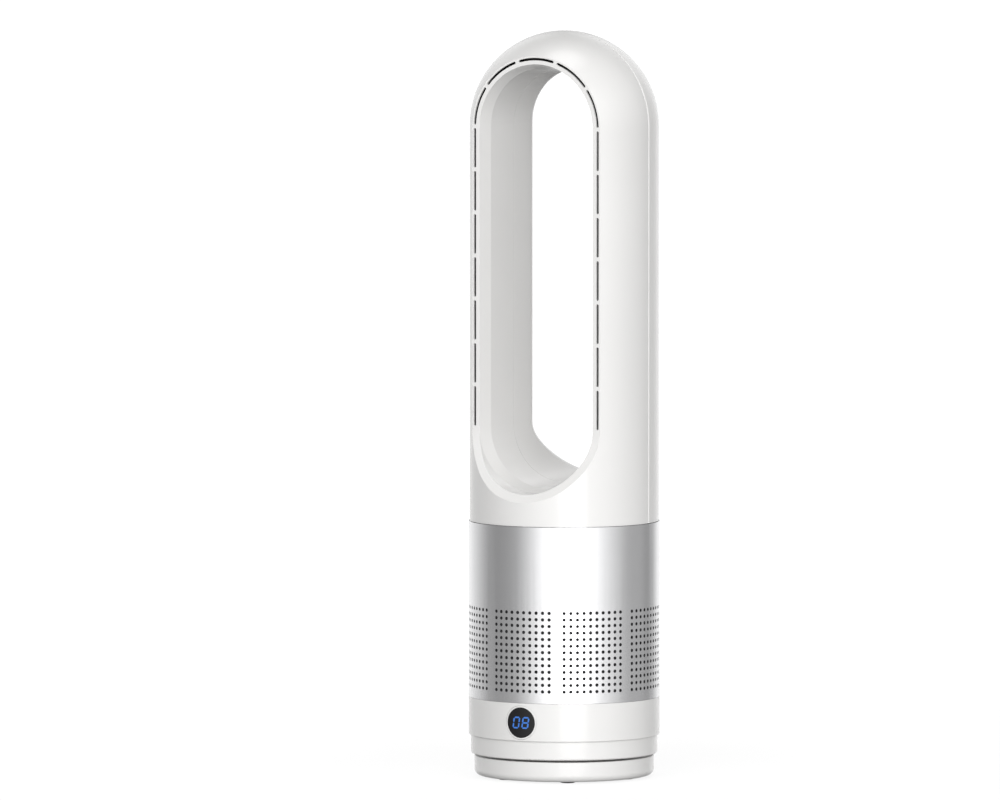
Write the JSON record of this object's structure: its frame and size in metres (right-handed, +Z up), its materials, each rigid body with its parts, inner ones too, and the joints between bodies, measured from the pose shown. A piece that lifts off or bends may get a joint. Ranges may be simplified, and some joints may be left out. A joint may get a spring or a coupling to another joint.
{
  "type": "tower fan",
  "caption": "Tower fan with an open air loop above a round base: perforated intake, blower inside, turning body on a fixed foot, round display at the front.",
  "frame": {"origin": "on the floor under the vertical turning axis, at the centre of the foot", "axes": "+Z up along the turning axis, front with the display and air slots towards -Y, +X to the right seen from the front"},
  "size_m": [0.21, 0.21, 0.8221],
  "materials": {
    "shell_white": "glossy moulded plastic",
    "body_white": "glossy moulded plastic",
    "silver_metal": "satin, brushed round",
    "display_black": "gloss black window",
    "display_blue": "lit",
    "liner_black": "matt",
    "filter_black": "fine mesh",
    "inner_grey": "moulded",
    "inner_dark": "moulded",
    "rubber": "matt",
    "foam": "foam",
    "steel": "turned",
    "ballast_iron": "painted",
    "race_plastic": "acetal",
    "board_green": "solder mask",
    "parts_black": "moulded",
    "copper": "enamelled winding",
    "contact_brass": "plated",
    "lead_grey": "sleeved"
  },
  "bodies": {
    "foot": {"foot_shell": "body_white", "foot_cover": "inner_grey", "rubber_feet": "rubber", "foot_screws": "steel", "ballast_plate": "ballast_iron", "power_inlet": "parts_black", "inlet_contacts": "contact_brass", "inlet_lead": "lead_grey", "pivot_post": "inner_grey", "post_screws": "steel", "lower_race": "race_plastic", "sun_gear": "race_plastic", "thrust_washer": "race_plastic", "retaining_clip": "steel"},
    "bearing_cage": {"bearing_cage": "inner_dark", "bearing_balls": "steel"},
    "turning_body": {"upper_race": "race_plastic", "swivel_base": "body_white", "drive_bracket": "steel", "drive_screws": "steel", "oscillation_motor": "steel", "control_ring": "body_white", "ring_screws": "steel", "display_bezel": "body_white", "display_lens": "display_black", "display_digits": "display_blue", "led_block": "parts_black", "display_board": "board_green", "ir_receiver": "parts_black", "board_carrier": "inner_grey", "board_screws": "steel", "main_board": "board_green", "board_components": "parts_black", "supply_lead": "lead_grey", "base_deck": "inner_grey", "inner_frame": "inner_dark", "deck_screws": "steel", "intake_filter": "filter_black", "intake_sleeve": "silver_metal", "blower_gasket": "foam", "bellmouth": "inner_dark", "impeller_housing": "inner_dark", "diffuser": "inner_dark", "motor_stator": "steel", "motor_windings": "copper", "motor_bearings": "steel", "motor_cover": "inner_dark", "vibration_mounts": "rubber", "duct_seal": "foam", "loop_neck": "inner_grey", "neck_screws": "steel", "front_shell": "shell_white", "rear_shell": "shell_white", "nozzle_liner": "liner_black"},
    "blower_wheel": {"impeller": "inner_grey", "impeller_nut": "inner_grey", "motor_shaft": "steel", "rotor_magnet": "inner_dark"},
    "drive_pinion": {"drive_pinion": "race_plastic"}
  },
  "joints": [
    {"name": "oscillation", "type": "hinge", "parent": "foot", "child": "turning_body", "pos_m": [0, 0, 0.03], "axis": [0, 0, 1], "range_deg": [-40, 40]},
    {"name": "cage_turn", "type": "hinge", "parent": "foot", "child": "bearing_cage", "pos_m": [0, 0, 0.022], "axis": [0, 0, 1], "range_deg": [-21, 21]},
    {"name": "wheel_spin", "type": "hinge", "parent": "turning_body", "child": "blower_wheel", "pos_m": [0, 0, 0.25], "axis": [0, 0, 1], "continuous": true},
    {"name": "pinion_turn", "type": "hinge", "parent": "turning_body", "child": "drive_pinion", "pos_m": [0, 0.048, 0.045], "axis": [0, 0, 1], "range_deg": [-125, 125]}
  ],
  "couplings": [
    {"joint": "cage_turn", "follows": "oscillation", "ratio": 0.5},
    {"joint": "pinion_turn", "follows": "oscillation", "ratio": 3}
  ]
}
